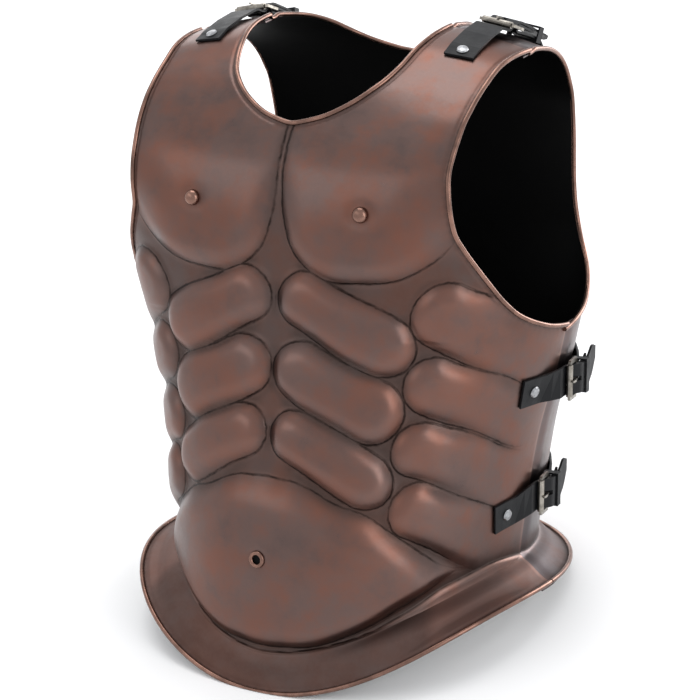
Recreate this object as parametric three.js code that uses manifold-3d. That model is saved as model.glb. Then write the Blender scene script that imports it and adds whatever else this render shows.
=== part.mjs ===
// Bronze muscle cuirass: breastplate, backplate, and six buckled straps that join them.
// Millimetres, +Z up, the chest faces -Y, the wearer's left is +X.
// The armour leans back on its two lowest rims, as it stands by itself on a level surface.
import * as THREE from 'three';
import { mergeVertices } from 'three/addons/utils/BufferGeometryUtils.js';
import Module from 'manifold-3d';

const wasm = await Module();
wasm.setup();

const RAD = Math.PI / 180;

// ---------------------------------------------------------------- driving dimensions
const WALL = 1.6;             // sheet thickness
const SIDE_GAP = 0.6;         // clearance between lapped plates at the sides
const SHOULDER_GAP = 1.4;     // clearance between lapped plates on the shoulders
const SIDE_LAP = 4.5;         // degrees that the backplate runs on behind the breastplate
const SIDE_JOG = [91, 96];    // degrees between which the backplate steps in behind the breastplate
const SHOULDER_LAP = 0.2;     // levels that the backplate runs on under the breastplate
const SHOULDER_JOG = [2, 12]; // distance behind the ridge over which the backplate steps down
const BEAD = 2.4;             // how far the rolled edge stands out
const STRAP_WIDTH = 26;
const STRAP_THICKNESS = 2;
const TOUCH = 0.3;            // gap left between pieces that touch

// Girth sections from the hem of the flange up to the ridge of the shoulder.
// dip lowers the front, with dip_power setting how wide; the squares push a section's corners out;
// drop lets the shoulder fall away sideways.
const SECTIONS = [
  // level height half_width side_y front back dip dip_power front_square back_square drop
  [0, 77, 193, 18, 182, 172, 77, 3.0, 0.03, 0.015, 0],
  [1, 84, 171, 22, 175, 158, 66, 2.7, 0.02, 0.012, 0],
  [2, 93, 157, 26, 175, 149, 55, 2.2, 0, 0.012, 0],
  [3.5, 135, 162, 25, 174, 153, 36, 2.0, 0, 0.012, 0],
  [5.5, 205, 174, 22, 161, 156, 8, 2.0, 0, 0.012, 0],
  [7.5, 285, 195, 20, 147, 151, 0, 2.0, 0.01, 0.015, 0],
  [9.5, 375, 212, 18, 139, 147, 0, 2.0, 0.05, 0.03, 0],
  [11.2, 440, 218, 17, 131, 140, 0, 2.0, 0.09, 0.03, 0],
  [12.2, 483, 221, 15, 109, 131, 0, 2.0, 0.1, 0.03, 2],
  [13, 508, 222, 15, 91, 119, 0, 2.0, 0.1, 0.03, 8],
  [13.7, 529, 222, 15, 68, 102, 0, 2.0, 0.1, 0.03, 12],
  [14.3, 546, 222, 15, 46, 77, 0, 2.0, 0.1, 0.03, 16],
  [14.8, 556, 222, 15, 22, 45, 0, 2.0, 0.1, 0.03, 19],
  [15.2, 560, 222, 15, 0, 0, 0, 2.0, 0.1, 0.03, 20],
];
const ARMPIT_LEVEL = 8.05;
const WAIST_TOP_LEVEL = 9;    // the side seam lies wholly below this level
const SHOULDER_LEVEL = 14;    // the shoulder seam lies wholly above this level
const RIDGE_LEVEL = 15.2;
const DROP_REACH = 150;       // half width at which the shoulder has fallen by the whole drop

// Edges of the plates: degrees from the middle of the plate, and level.
const FRONT_NECK = [
  [0, 12.1], [4.5, 12.25], [8.5, 12.6], [11.3, 13.0], [13.2, 13.35], [14.5, 13.75],
  [15.3, 14.15], [15.9, 14.5], [16.3, 14.9], [16.4, RIDGE_LEVEL],
];
const FRONT_ARMHOLE = [
  [90, ARMPIT_LEVEL], [81, 8.12], [73, 8.25], [65, 8.45], [58, 8.75], [52, 9.1], [46, 9.5],
  [41.5, 9.85], [38.3, 10.15], [35.6, 10.6], [33.5, 11.1], [32.2, 11.6], [31.8, 12.2],
  [31.9, 12.8], [32.2, 13.4], [32.7, 14.0], [33.5, 14.6], [34.4, RIDGE_LEVEL],
];
const BACK_NECK = [
  [0, 13.25], [3.5, 13.3], [7.5, 13.45], [11, 13.65], [14.3, 13.95], [17, 14.35],
  [19.5, 14.8], [21, RIDGE_LEVEL],
];
const BACK_ARMHOLE = [
  [94.5, 7.95], [90, 7.98], [82, 8.08], [73, 8.22], [65, 8.42], [59, 8.65], [54, 8.85],
  [50.5, 9.02], [47, 9.25], [44.5, 9.55], [42.6, 9.95], [41.5, 10.5], [41.1, 11.2],
  [41, 12.0], [41.2, 12.9], [41.8, 13.8], [42.6, 14.6], [43.5, RIDGE_LEVEL],
];

// Embossed lobes: pillows round a line from one end to the other, measured along the skin
// from the middle of the chest and up from the floor line of the hem.
const LOBES = [
  // start_across start_height end_across end_height start_radius end_radius rise
  [27, 336.5, 93, 303, 24.5, 27, 9],
  [26, 278, 88, 247, 25.5, 27, 9],
  [25.5, 223, 86, 190, 23.5, 25, 9],
  [142, 331, 236, 291, 29.5, 31, 8],
  [136, 271, 234, 231, 25.5, 27, 8],
  [132, 216, 227, 175, 25, 25.5, 8],
  [131, 162.5, 206, 124.5, 25, 29, 8],
];
const LOBE_FADE = [138, 213];  // across, where the outer lobes sink back into the side
const PECTORAL = {
  across: 54, height: 446, inner: 50, outer: 90, below: 91, above: 130, square: 2.6, rise: 9,
};
const PECTORAL_FADE = [400, 500];  // heights between which the chest runs out into the shoulder
const PECTORAL_SIDE = [76, 150];   // across, where it runs out towards the armhole
// The belly's upper and lower edge: across, height.
const BELLY_TOP = [
  [0, 187], [20, 185], [40, 179], [60, 170], [88, 160], [104, 150], [125, 134], [140, 122], [155, 112],
  [172, 105],
];
const BELLY_FOOT = [
  [0, 43], [30, 46], [51, 50], [75, 58], [90, 64], [126, 83], [154, 102], [172, 108],
];
const BELLY = { rise: 9, topRound: 20, footRound: 18 };
const NIPPLE = { across: 62, height: 412, radius: 8, rise: 4.5 };

// ---------------------------------------------------------------- materials
function finish(color, roughness, metalness) {
  return new THREE.MeshStandardMaterial({ color, roughness, metalness });
}
const BRONZE = finish(0x7d5244, 0.42, 0.9);
const LEATHER = finish(0x1c1e24, 0.6, 0);
const NICKEL = finish(0x8c8a84, 0.35, 1);
const STEEL = finish(0xb4b6bb, 0.3, 1);

// ---------------------------------------------------------------- small helpers
function smoothstep(from, to, value) {
  const t = Math.min(Math.max((value - from) / (to - from), 0), 1);
  return t * t * (3 - 2 * t);
}

// Smooth curve through given points that never overshoots them.
function monotone(xs, ys) {
  const last = xs.length - 1;
  const step = xs.slice(1).map((x, i) => x - xs[i]);
  const slope = step.map((h, i) => (ys[i + 1] - ys[i]) / h);
  const endSlope = (h0, h1, d0, d1) => {
    const m = ((2 * h0 + h1) * d0 - h0 * d1) / (h0 + h1);
    if (m * d0 <= 0) return 0;
    return d0 * d1 <= 0 && Math.abs(m) > 3 * Math.abs(d0) ? 3 * d0 : m;
  };
  const tangent = xs.map((x, i) => {
    if (i === 0) return endSlope(step[0], step[1], slope[0], slope[1]);
    if (i === last) return endSlope(step[i - 1], step[i - 2], slope[i - 1], slope[i - 2]);
    if (slope[i - 1] * slope[i] <= 0) return 0;
    const a = 2 * step[i] + step[i - 1];
    const b = step[i] + 2 * step[i - 1];
    return (a + b) / (a / slope[i - 1] + b / slope[i]);
  });
  return (x) => {
    const value = Math.min(Math.max(x, xs[0]), xs[last]);
    let i = 0;
    while (i < last - 1 && value > xs[i + 1]) i += 1;
    const h = step[i];
    const t = (value - xs[i]) / h;
    const s = 1 - t;
    return (1 + 2 * t) * s * s * ys[i] + t * s * s * h * tangent[i]
      + t * t * (3 - 2 * t) * ys[i + 1] - t * t * s * h * tangent[i + 1];
  };
}

// A closed geometry from shared corner points and triangles.
function closedGeometry(points, triangles) {
  const geometry = new THREE.BufferGeometry();
  const spots = points.flatMap((point) => point.toArray());
  geometry.setAttribute('position', new THREE.Float32BufferAttribute(spots, 3));
  geometry.setIndex(triangles);
  return geometry;
}

function toManifold(geometry) {
  const bare = geometry.clone();
  bare.deleteAttribute('normal');
  bare.deleteAttribute('uv');
  const merged = mergeVertices(bare, 1e-4);
  return new wasm.Manifold(new wasm.Mesh({
    numProp: 3,
    vertProperties: new Float32Array(merged.attributes.position.array),
    triVerts: new Uint32Array(merged.index.array),
  }));
}

function fromManifold(solid) {
  const mesh = solid.getMesh();
  const geometry = new THREE.BufferGeometry();
  const spots = new Float32Array(mesh.vertProperties);
  geometry.setAttribute('position', new THREE.BufferAttribute(spots, 3));
  geometry.setIndex(new THREE.BufferAttribute(new Uint32Array(mesh.triVerts), 1));
  return geometry;
}

// ---------------------------------------------------------------- the torso skin
const column = (index) => monotone(SECTIONS.map((row) => row[0]), SECTIONS.map((row) => row[index]));
const skin = {
  height: column(1), halfWidth: column(2), sideY: column(3), front: column(4), back: column(5),
  dip: column(6), dipPower: column(7), frontSquare: column(8), backSquare: column(9), drop: column(10),
};

// Point of the plain torso at an angle from the front (0) round to the back (180 degrees).
function skinPoint(angle, level) {
  const isFront = angle <= Math.PI / 2;
  const square = isFront ? skin.frontSquare(level) : skin.backSquare(level);
  const depth = isFront ? skin.front(level) : skin.back(level);
  const x = skin.halfWidth(level) * (Math.sin(angle) + square * Math.sin(3 * angle)) / (1 - square);
  const y = skin.sideY(level) - depth * (Math.cos(angle) - square * Math.cos(3 * angle)) / (1 - square);
  const dip = skin.dip(level) * Math.max(Math.cos(angle), 0) ** skin.dipPower(level);
  return new THREE.Vector3(x, y, skin.height(level) - dip - skin.drop(level) * (x / DROP_REACH) ** 2);
}

// Outward normal from the slopes round and up the skin, over a small step in radians and levels.
function skinNormal(angle, level) {
  const step = 0.004;
  const side = angle <= Math.PI / 2 ? -1 : 1;
  const around = skinPoint(angle, level).sub(skinPoint(angle + side * step, level)).multiplyScalar(-side);
  const low = Math.max(level - step, 0);
  const high = Math.min(level + step, RIDGE_LEVEL);
  return around.cross(skinPoint(angle, high).sub(skinPoint(angle, low))).normalize();
}

// Length along the skin from the middle of the chest.
function across(angle, level) {
  const half = skin.halfWidth(level);
  const front = skin.front(level);
  return angle * (half + front) / 2 + (half - front) / 4 * Math.sin(2 * angle);
}

// Angle, from the middle of the plate, at which a section reaches a given distance sideways.
function angleAtX(x, level, square) {
  const target = x / skin.halfWidth(level) * (1 - square);
  const rounds = 12;
  let angle = Math.asin(target);
  for (let i = 0; i < rounds; i += 1) angle = Math.asin(target - square * Math.sin(3 * angle));
  return angle;
}

// ---------------------------------------------------------------- embossing
// A cushion profile: 1 in the middle, nearly flat on top, steep to 0 where reach is 1.
function pillow(reach) {
  return reach < 1 ? (1 - reach ** 2.4) ** 0.7 : 0;
}

function lobeRise(s, z, [s0, z0, s1, z1, r0, r1, rise]) {
  const ds = s1 - s0;
  const dz = z1 - z0;
  const t = Math.min(Math.max(((s - s0) * ds + (z - z0) * dz) / (ds * ds + dz * dz), 0), 1);
  const radius = r0 + (r1 - r0) * t;
  const fade = 1 - smoothstep(LOBE_FADE[0], LOBE_FADE[1], s);
  return rise * fade * pillow(Math.hypot(s - s0 - t * ds, z - z0 - t * dz) / radius);
}

function pectoralRise(s, z) {
  const p = PECTORAL;
  const ds = (s - p.across) / (s < p.across ? p.inner : p.outer);
  const dz = (z - p.height) / (z < p.height ? p.below : p.above);
  const reach = (Math.abs(ds) ** p.square + Math.abs(dz) ** p.square) ** (1 / p.square);
  const nipple = NIPPLE.rise * pillow(Math.hypot(s - NIPPLE.across, z - NIPPLE.height) / NIPPLE.radius);
  const fade = (1 - smoothstep(...PECTORAL_FADE, z)) * (1 - smoothstep(...PECTORAL_SIDE, s));
  return p.rise * pillow(reach) * fade + nipple;
}

const bellyTop = monotone(BELLY_TOP.map((row) => row[0]), BELLY_TOP.map((row) => row[1]));
const bellyFoot = monotone(BELLY_FOOT.map((row) => row[0]), BELLY_FOOT.map((row) => row[1]));
function bellyRise(s, z) {
  const round = (distance, radius) => {
    const t = 1 - Math.min(Math.max(distance / radius, 0), 1);
    return Math.sqrt(1 - t * t);
  };
  return BELLY.rise * round(bellyTop(s) - z, BELLY.topRound) * round(z - bellyFoot(s), BELLY.footRound);
}

function embossing(s, z) {
  return Math.max(pectoralRise(s, z), bellyRise(s, z), ...LOBES.map((lobe) => lobeRise(s, z, lobe)));
}

// ---------------------------------------------------------------- plates
// Edge through (degrees, level) rows, walked by its length on the skin.
function edgeWalk(rows, behind) {
  const index = rows.map((row, i) => i);
  const degrees = monotone(index, rows.map((row) => row[0]));
  const level = monotone(index, rows.map((row) => row[1]));
  const count = 240;
  const samples = [];
  let length = 0;
  let before = null;
  for (let i = 0; i <= count; i += 1) {
    const at = (rows.length - 1) * i / count;
    const angle = behind ? Math.PI - degrees(at) * RAD : degrees(at) * RAD;
    const point = skinPoint(angle, level(at));
    if (before) length += point.distanceTo(before);
    samples.push({ length, angle, level: level(at) });
    before = point;
  }
  return (fraction) => {
    const target = fraction * length;
    let i = 1;
    while (i < count && samples[i].length < target) i += 1;
    const a = samples[i - 1];
    const b = samples[i];
    const t = (target - a.length) / (b.length - a.length);
    return { angle: a.angle + (b.angle - a.angle) * t, level: a.level + (b.level - a.level) * t };
  };
}

// Rows of a half plate: each row has its inner end, its outer end, and whether it crosses the middle.
function plateRows(plate) {
  const middle = plate.behind ? Math.PI : 0;
  const side = plate.behind ? (90 - SIDE_LAP) * RAD : Math.PI / 2;
  const rows = plate.lowLevels.map((level) => (
    { inner: { angle: middle, level }, outer: { angle: side, level }, joined: true }));
  const neck = edgeWalk(plate.neck, plate.behind);
  const armhole = edgeWalk(plate.armhole, plate.behind);
  const start = plate.armhole[0][1];
  const neckLevel = plate.neck[0][1];
  const total = plate.middleRows + plate.neckRows;
  for (let i = 0; i <= total; i += 1) {
    const joined = i <= plate.middleRows;
    const rise = start + (neckLevel - start) * i / plate.middleRows;
    const inner = joined ? { angle: middle, level: rise } : neck((i - plate.middleRows) / plate.neckRows);
    rows.push({ inner, outer: armhole(i / total), joined });
  }
  return rows;
}

// Outer and inner points of one place on a plate.
function platePoints(plate, angle, level, onEdge) {
  const base = skinPoint(angle, level);
  const normal = skinNormal(angle, level);
  const fromRidge = Math.abs(base.y - skin.sideY(level));
  const shoulder = level > SHOULDER_LEVEL ? 1 - smoothstep(...SHOULDER_JOG, fromRidge) : 0;
  const side = level < WAIST_TOP_LEVEL ? 1 - smoothstep(...SIDE_JOG, angle / RAD) : 0;
  const inset = plate.behind
    ? Math.max(shoulder * (WALL + SHOULDER_GAP), side * (WALL + SIDE_GAP))
    : 0;
  const rise = plate.behind ? 0 : embossing(across(angle, level), base.z);
  const lip = onEdge && inset === 0 ? BEAD : 0;
  return [
    base.clone().addScaledVector(normal, rise + lip - inset),
    base.clone().addScaledVector(normal, rise - inset - WALL),
  ];
}

// The backplate's tongue under the breastplate: each column keeps its x and runs on over the ridge.
function shoulderLap(columns) {
  const level = RIDGE_LEVEL - SHOULDER_LAP;
  return columns.map((x) => {
    const angle = angleAtX(x, level, skin.frontSquare(level));
    const base = skinPoint(angle, level);
    const normal = skinNormal(angle, level);
    return [
      base.clone().addScaledVector(normal, -WALL - SHOULDER_GAP),
      base.clone().addScaledVector(normal, -2 * WALL - SHOULDER_GAP),
    ];
  });
}

// A whole plate: two mirrored halves that share the middle column below the neck.
function plateGeometry(plate) {
  const rows = plateRows(plate);
  const halfRows = rows.map((row, j) => {
    const hem = j === 0;
    const list = [];
    for (let i = 0; i <= plate.columns; i += 1) {
      const u = plate.columnAt(i);
      const angle = row.inner.angle + (row.outer.angle - row.inner.angle) * u;
      const level = row.inner.level + (row.outer.level - row.inner.level) * u;
      const arm = i === plate.columns && j >= plate.lowLevels.length;
      const neck = i === 0 && j >= plate.lowLevels.length + plate.middleRows;
      list.push(platePoints(plate, angle, level, hem || arm || neck));
    }
    return { points: list, joined: row.joined };
  });
  if (plate.behind) {
    const ridge = rows[rows.length - 1];
    const columns = Array.from({ length: plate.columns + 1 }, (unused, i) => {
      const u = plate.columnAt(i);
      const angle = ridge.inner.angle + (ridge.outer.angle - ridge.inner.angle) * u;
      return skinPoint(angle, RIDGE_LEVEL).x;
    });
    halfRows.push({ points: shoulderLap(columns), joined: false });
  }
  const points = [];
  const ids = { 1: [], [-1]: [] };
  for (const hand of [1, -1]) {
    halfRows.forEach((row, j) => {
      ids[hand].push(row.points.map((pair, i) => {
        if (hand === -1 && i === 0 && row.joined) return ids[1][j][0];
        return pair.map((point) => {
          points.push(new THREE.Vector3(hand * point.x, point.y, point.z));
          return points.length - 1;
        });
      }));
    });
  }
  const triangles = [];
  const quad = (a, b, c, d, flip) => {
    if (flip) triangles.push(a, c, b, a, d, c);
    else triangles.push(a, b, c, a, c, d);
  };
  const turn = plate.behind ? -1 : 1;
  for (const hand of [1, -1]) {
    const grid = ids[hand];
    const flip = hand * turn < 0;
    const last = plate.columns;
    const top = grid.length - 1;
    for (let j = 0; j < top; j += 1) {
      for (let i = 0; i < last; i += 1) {
        const [a, b, c, d] = [grid[j][i], grid[j][i + 1], grid[j + 1][i + 1], grid[j + 1][i]];
        quad(a[0], b[0], c[0], d[0], flip);
        quad(a[1], b[1], c[1], d[1], !flip);
      }
      quad(grid[j][last][0], grid[j][last][1], grid[j + 1][last][1], grid[j + 1][last][0], flip);
      if (!halfRows[j + 1].joined) {
        quad(grid[j][0][1], grid[j][0][0], grid[j + 1][0][0], grid[j + 1][0][1], flip);
      }
    }
    for (let i = 0; i < last; i += 1) {
      quad(grid[0][i][1], grid[0][i + 1][1], grid[0][i + 1][0], grid[0][i][0], flip);
      quad(grid[top][i][0], grid[top][i + 1][0], grid[top][i + 1][1], grid[top][i][1], flip);
    }
  }
  return closedGeometry(points, triangles);
}

// Rows below the armholes, closer together on the flange; then rows up the middle and round the neck.
const LOW_LEVELS = [
  0, 0.5, 1, 1.5, 2, 2.4, 2.8, 3.2, 3.6, 4.0, 4.4, 4.8, 5.2, 5.6, 6.0, 6.4, 6.8, 7.2, 7.6,
];
const BREASTPLATE = {
  behind: false, columns: 20, columnAt: (i) => i / 20,
  lowLevels: LOW_LEVELS, middleRows: 11, neckRows: 9, neck: FRONT_NECK, armhole: FRONT_ARMHOLE,
};
// The backplate's last column is the narrow lap behind the breastplate's edge.
const BACKPLATE = {
  behind: true, columns: 11, columnAt: (i) => (i < 11 ? i * 9 / (90 + SIDE_LAP) : 1),
  lowLevels: LOW_LEVELS, middleRows: 9, neckRows: 7, neck: BACK_NECK, armhole: BACK_ARMHOLE,
};

// ---------------------------------------------------------------- straps and buckles
// A strap crosses a seam from a rivet on the breastplate to a rivet on the backplate. Its buckle has
// axes of its own: u along the strap towards the back, v away from the body, w across the strap.
const BUCKLE = {
  barAt: 16, wire: 2.4, armWidth: 3, opening: 29, rollerRadius: 2.9, rollerBore: 1.9, rollerLength: 27.6,
};
const PRONG = { width: 2.8, thickness: 1.6, eyeRadius: 2.85, eyeBore: 1.85 };
const KEEPER = { length: 8, thickness: 1.4, low: -4.2, high: 7 };
const RIVET = { radius: 5.2, edge: 1.2, rise: 1.9 };
const STRAP_END = 14;          // leather beyond each rivet
const STRAP_SEAT = TOUCH + STRAP_THICKNESS / 2 + 0.2;  // middle of the leather above the skin
const TAIL = { start: 0.93, narrowing: 0.6, round: 1.6 };  // the pointed end, as a part of the tongue
const CLIMB_START = 30;        // where the tail and the back end start to climb
const FOLD_RADIUS = 2.85;      // middle of the leather folded round the buckle's bar
const PRONG_CLEARANCE = 1.2;   // how much wider than the prong its slots are
const RIDGE_FRACTION = 0.42;   // part of a shoulder strap that lies in front of the ridge
// The tongue's middle line in the buckle: under the roller, through the frame and over the bar.
const TONGUE_STOPS = [
  // u v
  [-12, -5], [-4, -4.6], [0, -4.35], [2.7, -3.4], [8.4, 0.9], [13, 4.4], [16.2, 5.4],
  [22, 5.6], [30, 5.3],
];
const TONGUE_HEIGHT = 5;       // of the tail's middle line above the bar
// The prong's middle line, from its eye on the bar to its tip on the roller.
const PRONG_STOPS = [[14.4, 1.8], [9, 3.2], [4, 4.2], [0, 4.2], [-2.8, 3.6]];

// Levels and angles say where a strap's rivets sit. The roller's place, pitch and lean say how its
// buckle stands off the skin. fold, keeper and tail are distances along u: the end of the folded
// leather, the middle of the keeper and the tip of the tongue. climb is how steeply the tail rises,
// sag how far its tip drops, and span is what the back end crosses free of the plate.
const STRAPS = [
  {
    name: 'shoulder', x: 122, frontLevel: 14.37, backLevel: 13.35,
    roller: [122, 36, 556], pitch: -15, lean: 10, fold: 45, keeper: 55, tail: 84, climb: 0, sag: 4,
    span: [[52, -1.6], [62, -2.5]],
  },
  {
    name: 'upper_side', level: 6.78, frontAngle: 78, backAngle: 119, rise: 0.14,
    roller: [200, 27, 257], pitch: -7, lean: 0, fold: 36, keeper: 26, tail: 54, climb: 0.6, sag: 0,
    span: [],
  },
  {
    name: 'lower_side', level: 3.78, frontAngle: 78, backAngle: 122, rise: 0.26,
    roller: [174.5, 29, 150], pitch: -7, lean: 0, fold: 36, keeper: 26, tail: 54, climb: 0.6, sag: 0,
    span: [],
  },
];

// Skin under a strap at a fraction from its front rivet (0) to its back rivet (1).
function strapSkin(strap, fraction) {
  if (strap.name === 'shoulder') {
    const isFront = fraction < RIDGE_FRACTION;
    const fall = isFront ? RIDGE_LEVEL - strap.frontLevel : RIDGE_LEVEL - strap.backLevel;
    const reach = isFront
      ? 1 - fraction / RIDGE_FRACTION
      : (fraction - RIDGE_FRACTION) / (1 - RIDGE_FRACTION);
    const level = RIDGE_LEVEL - fall * reach;
    const square = isFront ? skin.frontSquare(level) : skin.backSquare(level);
    const turn = angleAtX(strap.x, level, square);
    const angle = isFront ? turn : Math.PI - turn;
    return { point: skinPoint(angle, level), normal: skinNormal(angle, level) };
  }
  const angle = (strap.frontAngle + (strap.backAngle - strap.frontAngle) * fraction) * RAD;
  const level = strap.level + strap.rise * fraction;
  return { point: skinPoint(angle, level), normal: skinNormal(angle, level) };
}

// Axes of a buckle at its roller, as a matrix from (u, v, w) to the body's axes.
function buckleMatrix(strap) {
  const forward = strap.pitch * RAD;
  const lean = strap.lean * RAD;
  const isShoulder = strap.name === 'shoulder';
  const along = isShoulder
    ? new THREE.Vector3(0, Math.cos(forward), Math.sin(forward))
    : new THREE.Vector3(Math.sin(forward), Math.cos(forward), 0);
  const sideways = isShoulder
    ? new THREE.Vector3(Math.cos(lean), 0, -Math.sin(lean))
    : new THREE.Vector3(0, 0, -1);
  const outward = sideways.clone().cross(along).normalize();
  const acrossStrap = along.clone().cross(outward).normalize();
  return new THREE.Matrix4().makeBasis(along, outward, acrossStrap).setPosition(...strap.roller);
}

// A flat band of even thickness along a path whose stops say where it goes and which way its width
// lies, so that it can twist from the plate's slope to the buckle's.
function ribbon(path, stepsEach, thickness, widthAt) {
  const curve = new THREE.CatmullRomCurve3(path.map((stop) => stop.spot), false, 'centripetal');
  const steps = stepsEach * (path.length - 1);
  const centres = curve.getPoints(steps);
  const points = [];
  centres.forEach((centre, i) => {
    const ahead = centres[Math.min(i + 1, steps)];
    const behind = centres[Math.max(i - 1, 0)];
    const along = ahead.clone().sub(behind).normalize();
    const stop = Math.min(Math.floor(i / stepsEach), path.length - 2);
    const side = path[stop].side.clone().lerp(path[stop + 1].side, i / stepsEach - stop).normalize();
    const up = side.clone().cross(along).normalize();
    const half = widthAt(i / steps) / 2;
    for (const [v, w] of [[-1, -1], [-1, 1], [1, 1], [1, -1]]) {
      points.push(centre.clone().addScaledVector(up, v * thickness / 2).addScaledVector(side, w * half));
    }
  });
  const triangles = [];
  for (let i = 0; i < steps; i += 1) {
    for (let k = 0; k < 4; k += 1) {
      const [a, b] = [4 * i + k, 4 * i + (k + 1) % 4];
      const [c, d] = [b + 4, a + 4];
      triangles.push(a, c, b, a, d, c);
    }
  }
  const end = 4 * steps;
  triangles.push(0, 1, 2, 0, 2, 3, end, end + 2, end + 1, end, end + 3, end + 2);
  return closedGeometry(points, triangles);
}

function boxAt(u, v, w, sizeU, sizeV, sizeW) {
  return new THREE.BoxGeometry(sizeU, sizeV, sizeW).translate(u, v, w);
}

function cut(geometry, tool) {
  return fromManifold(toManifold(geometry).subtract(toManifold(tool)));
}

// A stop of a strap's path in the buckle's axes: along u, out v, climbing past the keeper.
function stopAt(strap, u, v) {
  const spot = new THREE.Vector3(u, v, -strap.climb * Math.max(u - CLIMB_START, 0));
  return { spot, side: new THREE.Vector3(0, 0, 1) };
}

// Stops on the plate under one end of a strap, in the buckle's axes.
function seatStops(strap, inverse, fractions, lifts) {
  const step = 0.01;
  return fractions.map((fraction, i) => {
    const { point, normal } = strapSkin(strap, fraction);
    const along = strapSkin(strap, fraction + step).point.sub(strapSkin(strap, fraction - step).point);
    const side = along.cross(normal).normalize().transformDirection(inverse);
    return { spot: point.addScaledVector(normal, lifts[i]).applyMatrix4(inverse), side };
  });
}

// Length on the skin between a strap's two rivets.
function strapLength(strap) {
  const steps = 20;
  let length = 0;
  let before = strapSkin(strap, 0).point;
  for (let i = 1; i <= steps; i += 1) {
    const { point } = strapSkin(strap, i / steps);
    length += point.distanceTo(before);
    before = point;
  }
  return length;
}

// The tongue: from the front rivet, under the roller, over the bar and out to a pointed tail.
function tongueGeometry(strap, inverse) {
  const seat = STRAP_SEAT;
  const end = STRAP_END / strapLength(strap);
  const at = (u, v) => stopAt(strap, u, v);
  const height = TONGUE_HEIGHT;
  const path = [
    ...seatStops(strap, inverse, [-end, 0, end * 0.8], [seat, seat, seat + 0.8]),
    ...TONGUE_STOPS.map(([u, v]) => at(u, v)),
    at((30 + strap.tail) / 2, height - strap.sag / 4),
    at(strap.tail - 10, height - strap.sag / 2),
    at(strap.tail, height - strap.sag),
  ];
  const width = (t) => {
    const tip = Math.max((t - TAIL.start) / (1 - TAIL.start), 0);
    return STRAP_WIDTH * (1 - TAIL.narrowing * tip ** TAIL.round);
  };
  const band = ribbon(path, 2, STRAP_THICKNESS, width);
  return cut(band, boxAt(10.2, 2.3, 0, 9, 8, PRONG.width + PRONG_CLEARANCE));
}

// The buckle strap: folded round the bar and riveted to the backplate.
function buckleStrapGeometry(strap, inverse) {
  const seat = STRAP_SEAT;
  const end = STRAP_END / strapLength(strap);
  const at = (u, v) => stopAt(strap, u, v);
  const path = [at(strap.fold, 2.25), at((22 + strap.fold) / 2, 2.35), at(22, 2.75)];
  for (let k = 0; k <= 6; k += 1) {
    const turn = (90 + 30 * k) * RAD;
    path.push(at(BUCKLE.barAt + FOLD_RADIUS * Math.cos(turn), FOLD_RADIUS * Math.sin(turn)));
  }
  path.push(at(22, -2.5), at(strap.fold * 0.8, -1.7), ...strap.span.map(([u, v]) => at(u, v)));
  path.push(...seatStops(strap, inverse, [1 - end * 0.5, 1, 1 + end], [seat + 0.3, seat, seat]));
  const band = ribbon(path, 2, STRAP_THICKNESS, () => STRAP_WIDTH);
  return cut(band, boxAt(15.3, 0, 0, 11.4, 12, PRONG.width + PRONG_CLEARANCE));
}

// The buckle: a square ring of flat wire, its front leg carrying the roller.
function frameGeometry() {
  const b = BUCKLE;
  const half = b.opening / 2;
  const leg = 1;
  const outline = new THREE.Shape();
  outline.moveTo(-leg, -half - b.armWidth + 1);
  outline.lineTo(-leg, half + b.armWidth - 1);
  outline.lineTo(0, half + b.armWidth);
  outline.lineTo(b.barAt + leg, half + b.armWidth);
  outline.lineTo(b.barAt + leg, -half - b.armWidth);
  outline.lineTo(0, -half - b.armWidth);
  outline.closePath();
  const hole = new THREE.Path();
  hole.moveTo(leg, -half);
  hole.lineTo(b.barAt - leg, -half);
  hole.lineTo(b.barAt - leg, half);
  hole.lineTo(leg, half);
  hole.closePath();
  outline.holes.push(hole);
  const ring = new THREE.ExtrudeGeometry(outline, { depth: b.wire, bevelEnabled: false });
  return ring.translate(0, 0, -b.wire / 2).rotateX(-Math.PI / 2);
}

// A short tube across the strap.
function sleeve(bore, radius, length, sides) {
  const half = length / 2;
  const profile = [[bore, -half], [radius, -half], [radius, half], [bore, half], [bore, -half]]
    .map(([r, y]) => new THREE.Vector2(r, y));
  return new THREE.LatheGeometry(profile, sides).rotateX(Math.PI / 2);
}

function rollerGeometry() {
  return sleeve(BUCKLE.rollerBore, BUCKLE.rollerRadius, BUCKLE.rollerLength, 12);
}

// The prong: an eye round the bar and a shank that arches over to rest on the roller.

function prongGeometry() {
  const p = PRONG;
  const eye = sleeve(p.eyeBore, p.eyeRadius, p.width, 10).translate(BUCKLE.barAt, 0, 0);
  const path = PRONG_STOPS.map(([u, v]) => (
    { spot: new THREE.Vector3(u, v, 0), side: new THREE.Vector3(0, 0, 1) }));
  const shank = ribbon(path, 1, p.thickness, (t) => p.width * (1 - 0.35 * t));
  return fromManifold(toManifold(eye).add(toManifold(shank)));
}

// The keeper: a loop of leather round the tongue's tail and the buckle strap's two layers.
function keeperGeometry(strap) {
  const halfWidth = STRAP_WIDTH / 2 + 0.5;
  const { low, high, thickness: t } = KEEPER;
  const outline = new THREE.Shape();
  outline.moveTo(-halfWidth - t, low - t);
  outline.lineTo(halfWidth + t, low - t);
  outline.lineTo(halfWidth + t, high + t);
  outline.lineTo(-halfWidth - t, high + t);
  outline.closePath();
  const hole = new THREE.Path();
  hole.moveTo(-halfWidth, low);
  hole.lineTo(-halfWidth, high);
  hole.lineTo(halfWidth, high);
  hole.lineTo(halfWidth, low);
  hole.closePath();
  outline.holes.push(hole);
  const loop = new THREE.ExtrudeGeometry(outline, { depth: KEEPER.length, bevelEnabled: false });
  return loop.rotateY(-Math.PI / 2).translate(strap.keeper + KEEPER.length / 2, 0, 0);
}

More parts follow.
